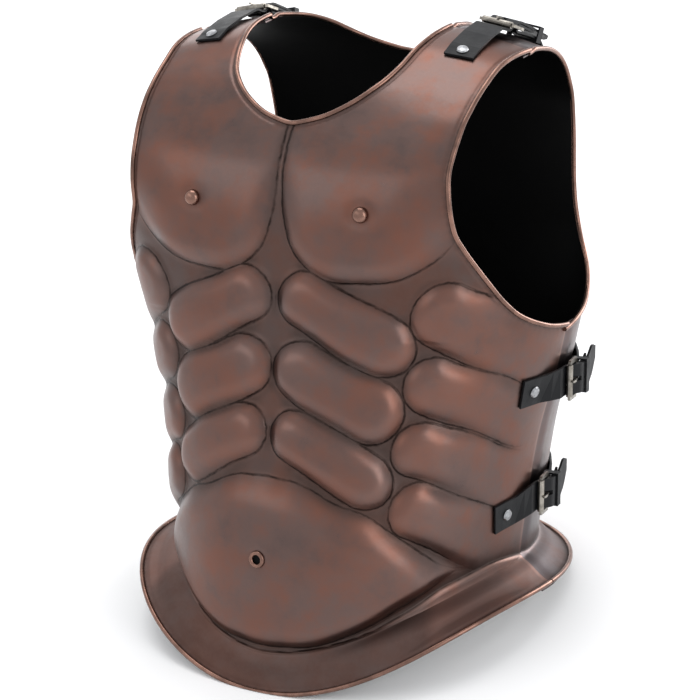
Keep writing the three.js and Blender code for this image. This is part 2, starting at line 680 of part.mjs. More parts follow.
// A low domed rivet head, its flat side on the leather.
function rivetGeometry() {
  const profile = [[0, 0], [RIVET.radius, 0], [RIVET.radius * 0.85, RIVET.edge], [0, RIVET.rise]]
    .map(([r, y]) => new THREE.Vector2(r, y));
  return new THREE.LatheGeometry(profile, 12);
}

function rivetAt(strap, fraction) {
  const { point, normal } = strapSkin(strap, fraction);
  const lift = 2 * TOUCH + STRAP_THICKNESS + 0.4;
  const turn = new THREE.Quaternion().setFromUnitVectors(new THREE.Vector3(0, 1, 0), normal);
  return rivetGeometry().applyQuaternion(turn).translate(...point.addScaledVector(normal, lift).toArray());
}

// The same piece on the wearer's other side, with its corners reordered so that it faces out.
function mirrored(geometry) {
  const copy = geometry.index ? geometry.toNonIndexed() : geometry.clone();
  copy.scale(-1, 1, 1);
  const array = copy.attributes.position.array;
  for (let i = 0; i < array.length; i += 9) {
    for (let k = 0; k < 3; k += 1) {
      const keep = array[i + 3 + k];
      array[i + 3 + k] = array[i + 6 + k];
      array[i + 6 + k] = keep;
    }
  }
  return copy;
}

// ---------------------------------------------------------------- how it stands
// The hem dips in front by its dip, over its whole depth from front to back: the armour leans back
// by that slope, onto the front tip and the back rim, each worn to a small flat.
const [HEM] = SECTIONS;
const REST_TILT = Math.atan2(HEM[6], HEM[4] + HEM[5]);
const STAND_BACK = -42.7;      // puts the middle of the whole over the origin
const STAND_UP = -37.4;        // puts the floor just inside the two lowest rims

function piece(name, geometry, material) {
  const bare = geometry.clone();
  for (const extra of ['uv', 'normal']) bare.deleteAttribute(extra);
  const shape = mergeVertices(bare, 1e-4);
  shape.rotateX(-REST_TILT).translate(0, STAND_BACK, STAND_UP);
  const spots = shape.attributes.position;
  for (let i = 0; i < spots.count; i += 1) spots.setZ(i, Math.max(spots.getZ(i), 0));
  shape.computeVertexNormals();
  const mesh = new THREE.Mesh(shape, material);
  mesh.name = name;
  return mesh;
}

const cuirass = new THREE.Group();
cuirass.add(piece('breastplate', plateGeometry(BREASTPLATE), BRONZE));
cuirass.add(piece('backplate', plateGeometry(BACKPLATE), BRONZE));
for (const strap of STRAPS) {
  const matrix = buckleMatrix(strap);
  const inverse = matrix.clone().invert();
  const parts = [
    ['tongue_strap', tongueGeometry(strap, inverse).applyMatrix4(matrix), LEATHER],
    ['buckle_strap', buckleStrapGeometry(strap, inverse).applyMatrix4(matrix), LEATHER],
    ['keeper', keeperGeometry(strap).applyMatrix4(matrix), LEATHER],
    ['buckle_frame', frameGeometry().applyMatrix4(matrix), NICKEL],
    ['roller', rollerGeometry().applyMatrix4(matrix), NICKEL],
    ['prong', prongGeometry().applyMatrix4(matrix), NICKEL],
    ['front_rivet', rivetAt(strap, 0), STEEL],
    ['back_rivet', rivetAt(strap, 1), STEEL],
  ];
  for (const [name, geometry, material] of parts) {
    cuirass.add(piece(`left_${strap.name}_${name}`, geometry, material));
    cuirass.add(piece(`right_${strap.name}_${name}`, mirrored(geometry), material));
  }
}

export default cuirass;
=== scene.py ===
"""Bronze muscle cuirass: the finish and fine shape of its plates, straps, buckles and rivets.

Shapes are worked out in millimetres on the upright armour, then leaned back onto the floor as it
stands and put into metres. The chest faces -Y and the wearer's left is +X.
"""
import math

import bpy
import numpy as np
from mathutils import Matrix


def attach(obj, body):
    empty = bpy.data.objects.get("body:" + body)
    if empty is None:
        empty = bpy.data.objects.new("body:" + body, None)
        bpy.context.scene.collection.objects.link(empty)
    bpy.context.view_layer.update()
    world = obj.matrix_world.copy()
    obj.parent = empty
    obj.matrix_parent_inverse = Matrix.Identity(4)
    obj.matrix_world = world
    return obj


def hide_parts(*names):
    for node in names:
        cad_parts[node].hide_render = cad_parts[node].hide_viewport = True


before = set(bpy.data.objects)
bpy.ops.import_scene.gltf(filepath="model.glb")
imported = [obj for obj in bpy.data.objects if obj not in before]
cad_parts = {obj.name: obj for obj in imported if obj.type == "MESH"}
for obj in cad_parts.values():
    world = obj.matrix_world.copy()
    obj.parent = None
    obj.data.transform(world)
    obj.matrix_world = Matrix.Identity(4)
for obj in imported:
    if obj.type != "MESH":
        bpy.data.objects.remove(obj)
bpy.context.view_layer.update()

MM = 0.001

# ---- driving dimensions
WALL = 1.6                 # sheet thickness
SIDE_GAP = 0.6             # clearance between lapped plates at the sides
SHOULDER_GAP = 1.4         # clearance between lapped plates on the shoulders
SIDE_LAP = 4.5             # degrees that the backplate runs on behind the breastplate
SIDE_JOG = (91, 96)        # degrees over which the backplate steps in behind the breastplate
SHOULDER_LAP = 0.2         # levels that the backplate runs on under the breastplate
SHOULDER_JOG = (2, 12)     # distance behind the ridge over which the backplate steps down
BEAD = 2.1                 # radius of the rolled edge
BEAD_RISE = 0.3            # its middle above the skin
BEAD_INSET = 0.9           # and in from the edge
HEM_LEVEL = 0.05           # the plates' last level, hidden in the rolled hem
ARMPIT_LEVEL = 8.05
WAIST_TOP_LEVEL = 9.0      # the side seam lies below this level
SHOULDER_LEVEL = 14.0      # the shoulder seam lies above this level
RIDGE_LEVEL = 15.2
DROP_REACH = 150.0         # half width at which the shoulder has fallen by the whole drop

# Girth sections from the hem of the flange up to the ridge of the shoulder.
SECTIONS = np.array([
    # level height half_width side_y front back dip dip_power front_square back_square drop
    (0, 77, 193, 18, 182, 172, 77, 3.0, .03, .015, 0),
    (1, 84, 171, 22, 175, 158, 66, 2.7, .02, .012, 0),
    (2, 93, 157, 26, 175, 149, 55, 2.2, 0, .012, 0),
    (3.5, 135, 162, 25, 174, 153, 36, 2.0, 0, .012, 0),
    (5.5, 205, 174, 22, 161, 156, 8, 2.0, 0, .012, 0),
    (7.5, 285, 195, 20, 147, 151, 0, 2.0, .01, .015, 0),
    (9.5, 375, 212, 18, 139, 147, 0, 2.0, .05, .03, 0),
    (11.2, 440, 218, 17, 131, 140, 0, 2.0, .09, .03, 0),
    (12.2, 483, 221, 15, 109, 131, 0, 2.0, .1, .03, 2),
    (13, 508, 222, 15, 91, 119, 0, 2.0, .1, .03, 8),
    (13.7, 529, 222, 15, 68, 102, 0, 2.0, .1, .03, 12),
    (14.3, 546, 222, 15, 46, 77, 0, 2.0, .1, .03, 16),
    (14.8, 556, 222, 15, 22, 45, 0, 2.0, .1, .03, 19),
    (15.2, 560, 222, 15, 0, 0, 0, 2.0, .1, .03, 20),
])

# Edges of the plates: degrees from the middle of the plate, and level.
FRONT_NECK = [
    (0, 12.1), (4.5, 12.25), (8.5, 12.6), (11.3, 13), (13.2, 13.35), (14.5, 13.75),
    (15.3, 14.15), (15.9, 14.5), (16.3, 14.9), (16.4, RIDGE_LEVEL),
]
FRONT_ARMHOLE = [
    (90, ARMPIT_LEVEL), (81, 8.12), (73, 8.25), (65, 8.45), (58, 8.75), (52, 9.1), (46, 9.5),
    (41.5, 9.85), (38.3, 10.15), (35.6, 10.6), (33.5, 11.1), (32.2, 11.6), (31.8, 12.2),
    (31.9, 12.8), (32.2, 13.4), (32.7, 14), (33.5, 14.6), (34.4, RIDGE_LEVEL),
]
BACK_NECK = [
    (0, 13.25), (3.5, 13.3), (7.5, 13.45), (11, 13.65), (14.3, 13.95), (17, 14.35),
    (19.5, 14.8), (21, RIDGE_LEVEL),
]
BACK_ARMHOLE = [
    (94.5, 7.95), (90, 7.98), (82, 8.08), (73, 8.22), (65, 8.42), (59, 8.65), (54, 8.85),
    (50.5, 9.02), (47, 9.25), (44.5, 9.55), (42.6, 9.95), (41.5, 10.5), (41.1, 11.2),
    (41, 12), (41.2, 12.9), (41.8, 13.8), (42.6, 14.6), (43.5, RIDGE_LEVEL),
]

# Embossed lobes: pillows round a line from one end to the other, measured across the skin from the
# middle of the chest and up from the floor line of the hem.
LOBES = [
    # start_across start_height end_across end_height start_radius end_radius rise
    (27, 336.5, 93, 303, 24.5, 27, 9),
    (26, 278, 88, 247, 25.5, 27, 9),
    (25.5, 223, 86, 190, 23.5, 25, 9),
    (142, 331, 236, 291, 29.5, 31, 8),
    (136, 271, 234, 231, 25.5, 27, 8),
    (132, 216, 227, 175, 25, 25.5, 8),
    (131, 162.5, 206, 124.5, 25, 29, 8),
]
LOBE_SETS = ((0, 2), (1,), (3, 5), (4, 6))  # lobes of one set never touch each other
LOBE_FADE = (138, 213)     # across, where the outer lobes sink back into the side
LINE_FADE = (208, 240)     # across, where their chased outlines end
LOBE_ROUND = 16.0          # how far in from its edge a lobe is rounded
LOBE_CROWN = 0.1           # part of its rise that a lobe swells by towards its middle
PECTORAL = dict(across=54, height=446, inner=52.5, outer=90, below=91, above=130, square=2.6, rise=9)
PECTORAL_FADE = (400, 500)  # heights between which the chest runs out into the shoulder
PECTORAL_SIDE = (76, 150)   # across, where it runs out towards the armhole
PECTORAL_ROUND = 20.0
BELLY_TOP = [
    (0, 187), (20, 185), (40, 179), (60, 170), (88, 160), (104, 150), (125, 134), (140, 122),
    (155, 112), (172, 105),
]
BELLY_FOOT = [
    (0, 39), (30, 41), (51, 46), (75, 53), (90, 60), (126, 78), (154, 95), (172, 103),
]
BELLY = dict(rise=9, top_round=30, foot_round=15)
# start is the angle at which a nipple's dome starts, just below the skin, and bluff the power that
# squares it off. groove_width is in radii.
NIPPLE = dict(
    across=62, height=413, radius=6.8, rise=5.4, start=-0.18, tip=0.02, bluff=0.8,
    groove=0.9, groove_width=0.6,
)
ROOT_LEVEL = [  # across, and the level at which the flange steps out
    (0, 1.84), (45, 1.92), (90, 2.02), (126, 2.22), (165, 2.5), (200, 2.5), (262, 2.12),
]
FLANGE_TOP_LEVEL = 3
# The step at the flange's root climbs over sharp and dies out over run, with a roll as high as
# belly and as wide as width below it. All but the heights are in levels.
ROOT = dict(rise=1.7, sharp=0.14, run=(0.6, 1.8), belly=2.0, width=1.8)
SCOOPS = [  # hollows beside the outer lobes
    # across height long high depth
    (206, 266, 17, 7, 2.2),
    (200, 214, 14, 6, 2.0),
    (201, 317, 18, 7, 1.6),
]
SCOOP_SLOPE = 0.42         # how steeply a hollow falls towards the back
# The navel: a raised ring, a dent, and a black disc that stands for the painted shade in the dent.
NAVEL = dict(
    height=117, ring=5.6, wire=1.9, ring_lift=0.4, dent=4.2, depth=4.5, hole=3.9, hole_lift=-0.2,
    hole_depth=2.0,
)
DOME_FOOT = 0.8            # rounding at the foot of a raised shape
DOME_EDGE = (-1.8, 1.2)    # distances inside its outline over which it starts to rise

# Unevenness of hand work: size of the shift, and the reach across and up of one radian of it.
ACROSS_WAVES = ((1.1, 37, 19), (0.6, -16, 9.5))
UP_WAVES = ((1.0, 17, -41), (0.6, 8.6, 23))
STILL_MIDDLE = 25          # across, where the waves reach their full size

# Where the chased outlines fade: ranges across and in height, and how much of the line goes.
LINE_GAPS = [
    # across height upward strength
    ((100, 135), (372, 400), True, 1.0),
    ((12, 30), (440, 500), True, 1.0),
    ((140, 158), (112, 128), False, 0.85),
]
OUTLINE_REACH = 30         # distances from an outline are kept within this
ROOT_REACH = 2             # and levels from the flange's root within this
LINE_WIDTH = 1.5           # half width of a chased line
HALO_WIDTH = 5.5           # and of the tarnish beside it

# Finish of the plates: blurring in rounds, reliefs and distances in mm, the rest strengths.
EDGE_GROOVE = dict(depth=0.5, at=4.6, width=1.5)
# a painted highlight on the breastplate's flange, strongest across the hip
FLANGE_HIGHLIGHT = dict(across=165, spread=48, hip=1.2, everywhere=0.35, run=(0.1, 0.5))
PAINTING = dict(
    local_blur=26, broad_blur=90, local_full=2.4, hollow_full=5, proud_full=6,
    hollow=0.75, broad_hollow=0.2, proud=0.6, broad_proud=0.4,
    rolled=0.8, rolled_from=2.2, rolled_run=3.2, rolled_power=1.3,
    side_shadow=0.8, side_shadow_degrees=0.7, side_highlight=1.8, side_highlight_degrees=89.0,
)

# How finely things are drawn and worked out.
EDGE_SAMPLES = 900
CORRECTIONS = 12
LOOK_ASIDE, LOOK_UP, LOOK_DOWN = 0.06, 0.3, 0.4  # radians and levels from an edge into its plate
HEM_STEPS = 90
ARM_STEPS = 110
NECK_STEPS = 60
WIRE_SIDES = 12
RING_STEPS = 28
SHADE_DISC_SIDES = 24
DOME_RINGS = 12
DOME_SIDES = 32
GROUND_LINES = 9

# Which of a plate's materials a face has, and the masks on its rolled edges and small details.
OUTSIDE, INSIDE, ROLLED = 0, 1, 2
DETAIL_MARKS = {"tarnish_and_shade": 0.0, "wear_and_highlight": 0.8, "chased": 0.0}
FAR_FROM_LINES = 2.0


# ---- small helpers
def smoothstep(low, high, value):
    """0 below low, 1 above high, and an even S between them."""
    t = np.clip((value - low) / (high - low), 0, 1)
    return t * t * (3 - 2 * t)


def monotone(rows, at):
    """A cubic through (x, y) rows whose slope at each row is the weighted harmonic mean of the
    slopes beside it, or 0 at a peak, so that the curve never overshoots a row."""
    xs, ys = np.asarray(rows, float).T
    step = np.diff(xs)
    slope = np.diff(ys) / step
    before, after = slope[:-1], slope[1:]
    a = 2 * step[1:] + step[:-1]
    b = step[1:] + 2 * step[:-1]
    same = before * after > 0
    safe_before = np.where(same, before, 1)
    safe_after = np.where(same, after, 1)
    inner = np.where(same, (a + b) / (a / safe_before + b / safe_after), 0)

    def end(h0, h1, d0, d1):
        """Slope at an end row."""
        m = ((2 * h0 + h1) * d0 - h0 * d1) / (h0 + h1)
        if m * d0 <= 0:
            return 0.0
        return 3 * d0 if d0 * d1 <= 0 and abs(m) > 3 * abs(d0) else m

    first = end(step[0], step[1], slope[0], slope[1])
    last = end(step[-1], step[-2], slope[-1], slope[-2])
    tangent = np.concatenate([[first], inner, [last]])
    value = np.clip(at, xs[0], xs[-1])
    i = np.clip(np.searchsorted(xs, value, side="right") - 1, 0, len(step) - 1)
    h = step[i]
    t = (value - xs[i]) / h
    s = 1 - t
    return (
        (1 + 2 * t) * s * s * ys[i] + t * s * s * h * tangent[i]
        + t * t * (3 - 2 * t) * ys[i + 1] - t * t * s * h * tangent[i + 1]
    )


def unit(vectors):
    """Vectors of the same directions and of length 1."""
    return vectors / np.maximum(np.linalg.norm(vectors, axis=-1, keepdims=True), 1e-9)


HEM = SECTIONS[0]          # its columns 4, 5 and 6 are the reach in front, behind, and the dip
REST_TILT = math.atan2(HEM[6], HEM[4] + HEM[5])
STAND_BACK = -42.7         # shift that brings the leaning armour over the middle of the floor
STAND_UP = -37.4           # and down onto it


def lean(vectors):
    """Turns upright directions back by the angle at which the armour stands."""
    c, s = math.cos(REST_TILT), math.sin(REST_TILT)
    x, y, z = np.moveaxis(np.asarray(vectors, float), -1, 0)
    return np.stack([x, y * c + z * s, z * c - y * s], -1)


def stand(points):
    """Takes upright points in millimetres to the floor, in metres; nothing goes below it."""
    spots = lean(points) + (0, STAND_BACK, STAND_UP)
    spots[..., 2] = np.maximum(spots[..., 2], 0)
    return spots * MM


# ---- the torso skin
def section(index, level):
    """One column of the girth sections at a level."""
    return monotone(SECTIONS[:, [0, index]], level)


def skin(angle, level):
    """Point of the plain torso at an angle from the front (0) to the back (pi): half an ellipse in
    front and half behind, squared off by a third harmonic, with the front dipping by a power of the
    cosine and the shoulder falling away as the square of the distance sideways."""
    angle, level = np.broadcast_arrays(np.asarray(angle, float), np.asarray(level, float))
    front = angle <= math.pi / 2
    square = np.where(front, section(8, level), section(9, level))
    depth = np.where(front, section(4, level), section(5, level))
    x = section(2, level) * (np.sin(angle) + square * np.sin(3 * angle)) / (1 - square)
    y = section(3, level) - depth * (np.cos(angle) - square * np.cos(3 * angle)) / (1 - square)
    dip = section(6, level) * np.maximum(np.cos(angle), 0) ** section(7, level)
    z = section(1, level) - dip - section(10, level) * (x / DROP_REACH) ** 2
    return np.stack([x, y, z], -1)


def skin_normal(angle, level):
    """Outward normal: the slope round the skin crossed with the slope up it."""
    angle, level = np.broadcast_arrays(np.asarray(angle, float), np.asarray(level, float))
    step = 0.004
    side = np.where(angle <= math.pi / 2, -1.0, 1.0)
    around = (skin(angle, level) - skin(angle + side * step, level)) * -side[..., None]
    low = np.maximum(level - step, 0)
    high = np.minimum(level + step, RIDGE_LEVEL)
    return unit(np.cross(around, skin(angle, high) - skin(angle, low)))


def across(angle, level):
    """Length along the skin from the middle of the chest."""
    half, front = section(2, level), section(4, level)
    return angle * (half + front) / 2 + (half - front) / 4 * np.sin(2 * angle)


# ---- embossing
def dome(distance, width, fullness=0.7):
    """0 at an edge, rising to 1 at width in from it as a power of a sine; a lower power stands up
    more steeply from the edge."""
    inside = DOME_FOOT * np.logaddexp(0, distance / DOME_FOOT)
    turn = np.sin(np.clip(inside / width, 0, 1) * math.pi / 2)
    return turn ** fullness * smoothstep(*DOME_EDGE, distance)


def lobe_depth(s, z, row):
    """How far a place lies inside a lobe's outline (negative outside)."""
    s0, z0, s1, z1, r0, r1, _ = row
    ds, dz = s1 - s0, z1 - z0
    t = np.clip(((s - s0) * ds + (z - z0) * dz) / (ds * ds + dz * dz), 0, 1)
    return r0 + (r1 - r0) * t - np.hypot(s - s0 - t * ds, z - z0 - t * dz)


def pectoral_depth(s, z):
    """How far a place lies inside a pectoral's outline, a superellipse with four reaches: its
    shortfall from 1 over the steepness of its measure."""
    p = PECTORAL
    reach_s = np.where(s < p["across"], p["inner"], p["outer"])
    reach_z = np.where(z < p["height"], p["below"], p["above"])
    ds = abs(s - p["across"]) / reach_s
    dz = abs(z - p["height"]) / reach_z
    power = p["square"]
    reach = np.maximum((ds ** power + dz ** power) ** (1 / power), 0.05)
    steep = np.hypot(ds ** (power - 1) / reach_s, dz ** (power - 1) / reach_z)
    return (1 - reach) * reach ** (power - 1) / np.maximum(steep, 1e-6)


def waves(rows, s, z):
    """The sum of sines that run slantwise over the chest, each with its own size."""
    return sum(size * np.sin(s / per_s + z / per_z) for size, per_s, per_z in rows)


def hand_raised(s, z):
    """Shifts places by a few slow waves, so that no lobe is a perfect figure. The middle line of
    the chest stays straight."""
    hold = smoothstep(0, STILL_MIDDLE, s)
    return s + waves(ACROSS_WAVES, s, z) * hold, z + waves(UP_WAVES, s, z) * hold


def outlines(s, z):
    """Distance inside the outline of each set of shapes that never touch, negative outside, as a
    dict of fields; and how strongly the outline is chased there, from 0 to 1."""
    s, z = hand_raised(s, z)
    fields = {
        "set_%d" % i: np.max([lobe_depth(s, z, LOBES[n]) for n in chosen], axis=0)
        for i, chosen in enumerate(LOBE_SETS)
    }
    fields["pectoral"] = pectoral_depth(s, z)
    fields["belly"] = np.minimum(monotone(BELLY_TOP, s) - z, z - monotone(BELLY_FOOT, s))
    chased = 1 - smoothstep(*LINE_FADE, s)
    for s_range, z_range, upward, strength in LINE_GAPS:
        rise = smoothstep(*z_range, z)
        chased *= 1 - strength * smoothstep(*s_range, s) * (rise if upward else 1 - rise)
    return fields, chased


def embossing(s, z):
    """Height of the chest's relief at places across and up: the highest of the pectoral, the belly
    and the lobes, less the hollows beside them, the ring round the nipple and the navel's dent."""
    plain_s, plain_z = s, z
    s, z = hand_raised(s, z)
    chest_fade = (1 - smoothstep(*PECTORAL_FADE, z)) * (1 - smoothstep(*PECTORAL_SIDE, s))
    relief = PECTORAL["rise"] * dome(pectoral_depth(s, z), PECTORAL_ROUND) * chest_fade
    belly = (
        BELLY["rise"] * dome(monotone(BELLY_TOP, s) - z, BELLY["top_round"], 1.0)
        * dome(z - monotone(BELLY_FOOT, s), BELLY["foot_round"])
    )
    relief = np.maximum(relief, belly)
    fade = 1 - smoothstep(*LOBE_FADE, s)
    for row in LOBES:
        inside = lobe_depth(s, z, row)
        crown = 1 + LOBE_CROWN * np.clip(inside / row[4], 0, 1)
        relief = np.maximum(relief, row[6] * fade * dome(inside, LOBE_ROUND) * crown)
    for across_at, up_at, long, high, depth in SCOOPS:
        fall = (z - up_at + SCOOP_SLOPE * (s - across_at)) / high
        relief = relief - depth * np.exp(-((s - across_at) / long) ** 2 - fall ** 2)
    radii_out = np.hypot(plain_s - NIPPLE["across"], plain_z - NIPPLE["height"]) / NIPPLE["radius"]
    relief -= NIPPLE["groove"] * np.exp(-((radii_out - 1.0) / NIPPLE["groove_width"]) ** 2)
    navel_out = np.hypot(plain_s, plain_z - NAVEL["height"])
    return relief - NAVEL["depth"] * np.exp(-(navel_out / NAVEL["dent"]) ** 2)


# ---- plates
def edge_walk(rows, behind, fractions):
    """Angles and levels at fractions of the length of an edge given as (degrees, level) rows."""
    index = np.arange(len(rows))
    at = np.linspace(0, len(rows) - 1, EDGE_SAMPLES)
    degrees, level = (monotone(np.column_stack([index, column]), at) for column in zip(*rows))
    angle = math.pi - np.radians(degrees) if behind else np.radians(degrees)
    run = np.linalg.norm(np.diff(skin(angle, level), axis=0), axis=1)
    length = np.concatenate([[0], np.cumsum(run)])
    wanted = np.asarray(fractions) * length[-1]
    return np.interp(wanted, length, angle), np.interp(wanted, length, level)


def half_plate(plate):
    """Angle and level of every place of a half plate: each row runs straight, in angle and level,
    from the middle or the neck out to the side or the armhole. Also says which rows meet the
    middle."""
    behind, low_rows, middle_rows = plate["behind"], plate["low_rows"], plate["middle_rows"]
    middle = math.pi if behind else 0.0
    side = math.radians(90 - SIDE_LAP) if behind else math.pi / 2
    armpit, neck_foot = plate["armhole"][0][1], plate["neck"][0][1]
    low = HEM_LEVEL + (armpit - HEM_LEVEL) * np.linspace(0, 1, low_rows, endpoint=False)
    rise = armpit + (neck_foot - armpit) * (np.arange(middle_rows) / middle_rows)
    neck_at = np.arange(plate["neck_rows"] + 1) / plate["neck_rows"]
    neck_angle, neck_level = edge_walk(plate["neck"], behind, neck_at)
    total = middle_rows + plate["neck_rows"]
    arm_angle, arm_level = edge_walk(plate["armhole"], behind, np.arange(total + 1) / total)
    from_angle, from_level, to_angle, to_level = (np.concatenate(run)[:, None] for run in (
        (np.full(low_rows + middle_rows, middle), neck_angle), (low, rise, neck_level),
        (np.full(low_rows, side), arm_angle), (low, arm_level)))
    u = np.linspace(0, 1, plate["columns"] + 1)[None, :]
    angle = from_angle + (to_angle - from_angle) * u
    level = from_level + (to_level - from_level) * u
    joined = np.arange(len(angle)) <= low_rows + middle_rows
    return angle, level, joined


def blurred(field, rounds):
    """A field on a grid, averaged with its neighbours a number of times."""
    for _ in range(rounds):
        wide = np.pad(field, 1, mode="edge")
        field = (
            4 * field + 2 * (wide[:-2, 1:-1] + wide[2:, 1:-1] + wide[1:-1, :-2] + wide[1:-1, 2:])
            + wide[:-2, :-2] + wide[:-2, 2:] + wide[2:, :-2] + wide[2:, 2:]
        ) / 16
    return field


def nearest(points, path, chunk=4000):
    """Distance from each point to the nearest point of a path."""
    out = np.empty(len(points))
    for start in range(0, len(points), chunk):
        part = points[start:start + chunk]
        square = ((part[:, None, :] - path[None, :, :]) ** 2).sum(-1)
        out[start:start + chunk] = np.sqrt(square.min(1))
    return out


def edge_frame(angle, level, inset, inward):
    """Middle line of a rolled edge and its outward and sideways directions. inset sinks it, and
    inward points from the edge into the plate."""
    normal = skin_normal(angle, level)
    base = skin(angle, level)
    along = unit(np.gradient(base, axis=0))
    side = unit(np.cross(along, normal))
    side *= np.sign((side * inward).sum(-1, keepdims=True))
    centre = base + normal * (BEAD_RISE - inset)[:, None] + side * BEAD_INSET
    return centre, normal, side


def grid_faces(ids, flip=False):
    """Four-sided faces between the points of a grid, turned over if flip is true."""
    a, b, c, d = ids[:-1, :-1], ids[:-1, 1:], ids[1:, 1:], ids[1:, :-1]
    return np.stack([a, d, c, b] if flip else [a, b, c, d], -1).reshape(-1, 4)


def rings(count, sides):
    """Point numbers of rings, with the first point of each again at its end."""
    ids = np.arange(count * sides).reshape(count, sides)
    return np.column_stack([ids, ids[:, 0]])


def end_faces(ids):
    """The flat faces over the first and the last ring."""
    return [ids[0, :-1][::-1].tolist(), ids[-1, :-1].tolist()]


def ring_grid(centre, across_one, across_two, radius, sides, closed=False):
    """A round wire: circles of one radius carried along a line. Ends are closed by flat faces."""
    turn = np.arange(sides) * 2 * math.pi / sides
    circle = (
        across_one[:, None, :] * np.cos(turn)[None, :, None]
        + across_two[:, None, :] * np.sin(turn)[None, :, None]
    )
    points = centre[:, None, :] + radius * circle
    ids = rings(len(centre), sides)
    if closed:
        return points.reshape(-1, 3), grid_faces(np.vstack([ids, ids[:1]]), True).tolist()
    return points.reshape(-1, 3), grid_faces(ids, True).tolist() + end_faces(ids)


def faces_outward(points, faces, centre_line):
    """Flips every face if the first one points in towards the middle line."""
    corner = points[faces[0]]
    normal = np.cross(corner[1] - corner[0], corner[2] - corner[0])
    if np.dot(normal, corner.mean(0) - centre_line[0]) < 0:
        return [face[::-1] for face in faces]
    return faces


def mirrored_path(points, join):
    """A path and its mirror image, as one path through the middle if join is true."""
    flip = points * (-1, 1, 1)
    return [np.concatenate([flip[::-1][:-1], points])] if join else [points, flip]


def seam(fine, coarse, flip):
    """Triangles that join a fine line of points to a line with every second of them."""
    a, b, c = fine[:-2:2], fine[1:-1:2], fine[2::2]
    p, q = coarse[:-1], coarse[1:]
    rows = np.concatenate([np.stack(t, -1) for t in ((a, b, p), (b, q, p), (b, c, q))])
    return rows[:, ::-1] if flip else rows


def plate_shell(plate):
    """Both skins of a whole plate. The outer skin is fine, the inner has every second row and
    column, and their edges are joined, so that the sheet is closed."""
    angle, level, joined = half_plate(plate)
    base = skin(angle, level)
    normal = skin_normal(angle, level)
    if plate["behind"]:
        relief = np.zeros(angle.shape)
        fields, chased = {}, relief
        from_ridge = abs(base[..., 1] - section(3, level))
        shoulder = (1 - smoothstep(*SHOULDER_JOG, from_ridge)) * (level > SHOULDER_LEVEL)
        side = (1 - smoothstep(*SIDE_JOG, np.degrees(angle))) * (level < WAIST_TOP_LEVEL)
        inset = np.maximum(shoulder * (WALL + SHOULDER_GAP), side * (WALL + SIDE_GAP))
    else:
        s = across(angle, level)
        relief = blurred(embossing(s, base[..., 2]), 2)
        fields, chased = outlines(s, base[..., 2])
        inset = np.zeros(angle.shape)
    below_root = root_level(angle, level, plate["behind"]) - level
    relief = relief + ROOT["rise"] * (
        smoothstep(0, ROOT["sharp"], below_root) - smoothstep(*ROOT["run"], below_root))
    relief += ROOT["belly"] * np.sin(np.clip(below_root / ROOT["width"], 0, 1) * math.pi)
    if plate["behind"]:
        # the tongue under the breastplate: the last row runs on over the ridge
        lap_level = RIDGE_LEVEL - SHOULDER_LAP
        x = base[-1, :, 0]
        lap_angle = angle_at_x(x, lap_level)
        base[-1] = skin(lap_angle, np.full(len(x), lap_level))
        normal[-1] = skin_normal(lap_angle, np.full(len(x), lap_level))
    outer = base + normal * (relief - inset)[..., None]
    inner = (base + normal * (relief - inset - WALL)[..., None])[::2, ::2]
    paths = plate_edges(plate)
    beads = np.concatenate([path["centre"] for path in paths])
    edge = nearest(outer.reshape(-1, 3), beads[::2]).reshape(angle.shape)
    # a shallow groove turned beside the rolled edge
    groove = EDGE_GROOVE["depth"] * np.exp(-((edge - EDGE_GROOVE["at"]) / EDGE_GROOVE["width"]) ** 2)
    outer = outer - normal * groove[..., None]
    marks = paint_marks(plate, relief, edge, below_root, angle, level)
    for name, field in fields.items():
        marks[name] = np.clip(field, -OUTLINE_REACH, OUTLINE_REACH)
    marks["chased"] = chased
    return assemble(plate, outer, inner, joined, marks), paths


def root_level(angle, level, behind):
    """Level at which the flange steps out, which climbs a little towards the hips in front."""
    if behind:
        return np.full(angle.shape, ROOT_LEVEL[-1][1])
    return monotone(ROOT_LEVEL, across(angle, np.minimum(level, FLANGE_TOP_LEVEL)))


def angle_at_x(x, level):
    """Angle from the middle at which a front section reaches a distance sideways, by repeated
    correction of the plain ellipse's answer."""
    square = section(8, level)
    target = x / section(2, level) * (1 - square)
    angle = np.arcsin(np.clip(target, -1, 1))
    for _ in range(CORRECTIONS):
        angle = np.arcsin(np.clip(target - square * np.sin(3 * angle), -1, 1))
    return angle


def plate_edges(plate):
    """Middle lines of the rolled hem, armhole and neck of a half plate, with their two directions.
    A look a little up, or down and aside, shows which way the plate lies."""
    out = []
    behind = plate["behind"]
    start = math.pi if behind else 0.0
    hem_angle = np.linspace(start, plate["hem_side"], HEM_STEPS)
    hem_level = np.full(HEM_STEPS, HEM_LEVEL)
    arm_at = np.linspace(plate["arm_from"], 1, ARM_STEPS)
    neck_at = np.linspace(0, 1, NECK_STEPS)
    aside = -LOOK_ASIDE if behind else LOOK_ASIDE
    for name, (angle, level), turn, rise, join in (
        ("hem", (hem_angle, hem_level), 0, LOOK_UP, True),
        ("armhole", edge_walk(plate["armhole"], behind, arm_at), -aside, -LOOK_DOWN, False),
        ("neck", edge_walk(plate["neck"], behind, neck_at), aside, -LOOK_DOWN, True),
    ):
        inward = skin(angle, level + rise) + skin(angle + turn, level) - 2 * skin(angle, level)
        inset = np.zeros(len(angle))
        if behind and name != "hem":
            ridge = abs(skin(angle, level)[:, 1] - section(3, level))
            high = level > SHOULDER_LEVEL
            inset = (1 - smoothstep(*SHOULDER_JOG, ridge)) * high * (WALL + SHOULDER_GAP)
        if not behind:
            inset = -embossing(across(angle, level), skin(angle, level)[:, 2])
        centre, normal, sideways = edge_frame(angle, level, inset, inward)
        out.append(dict(centre=centre, normal=normal, side=sideways, join=join))
    return out


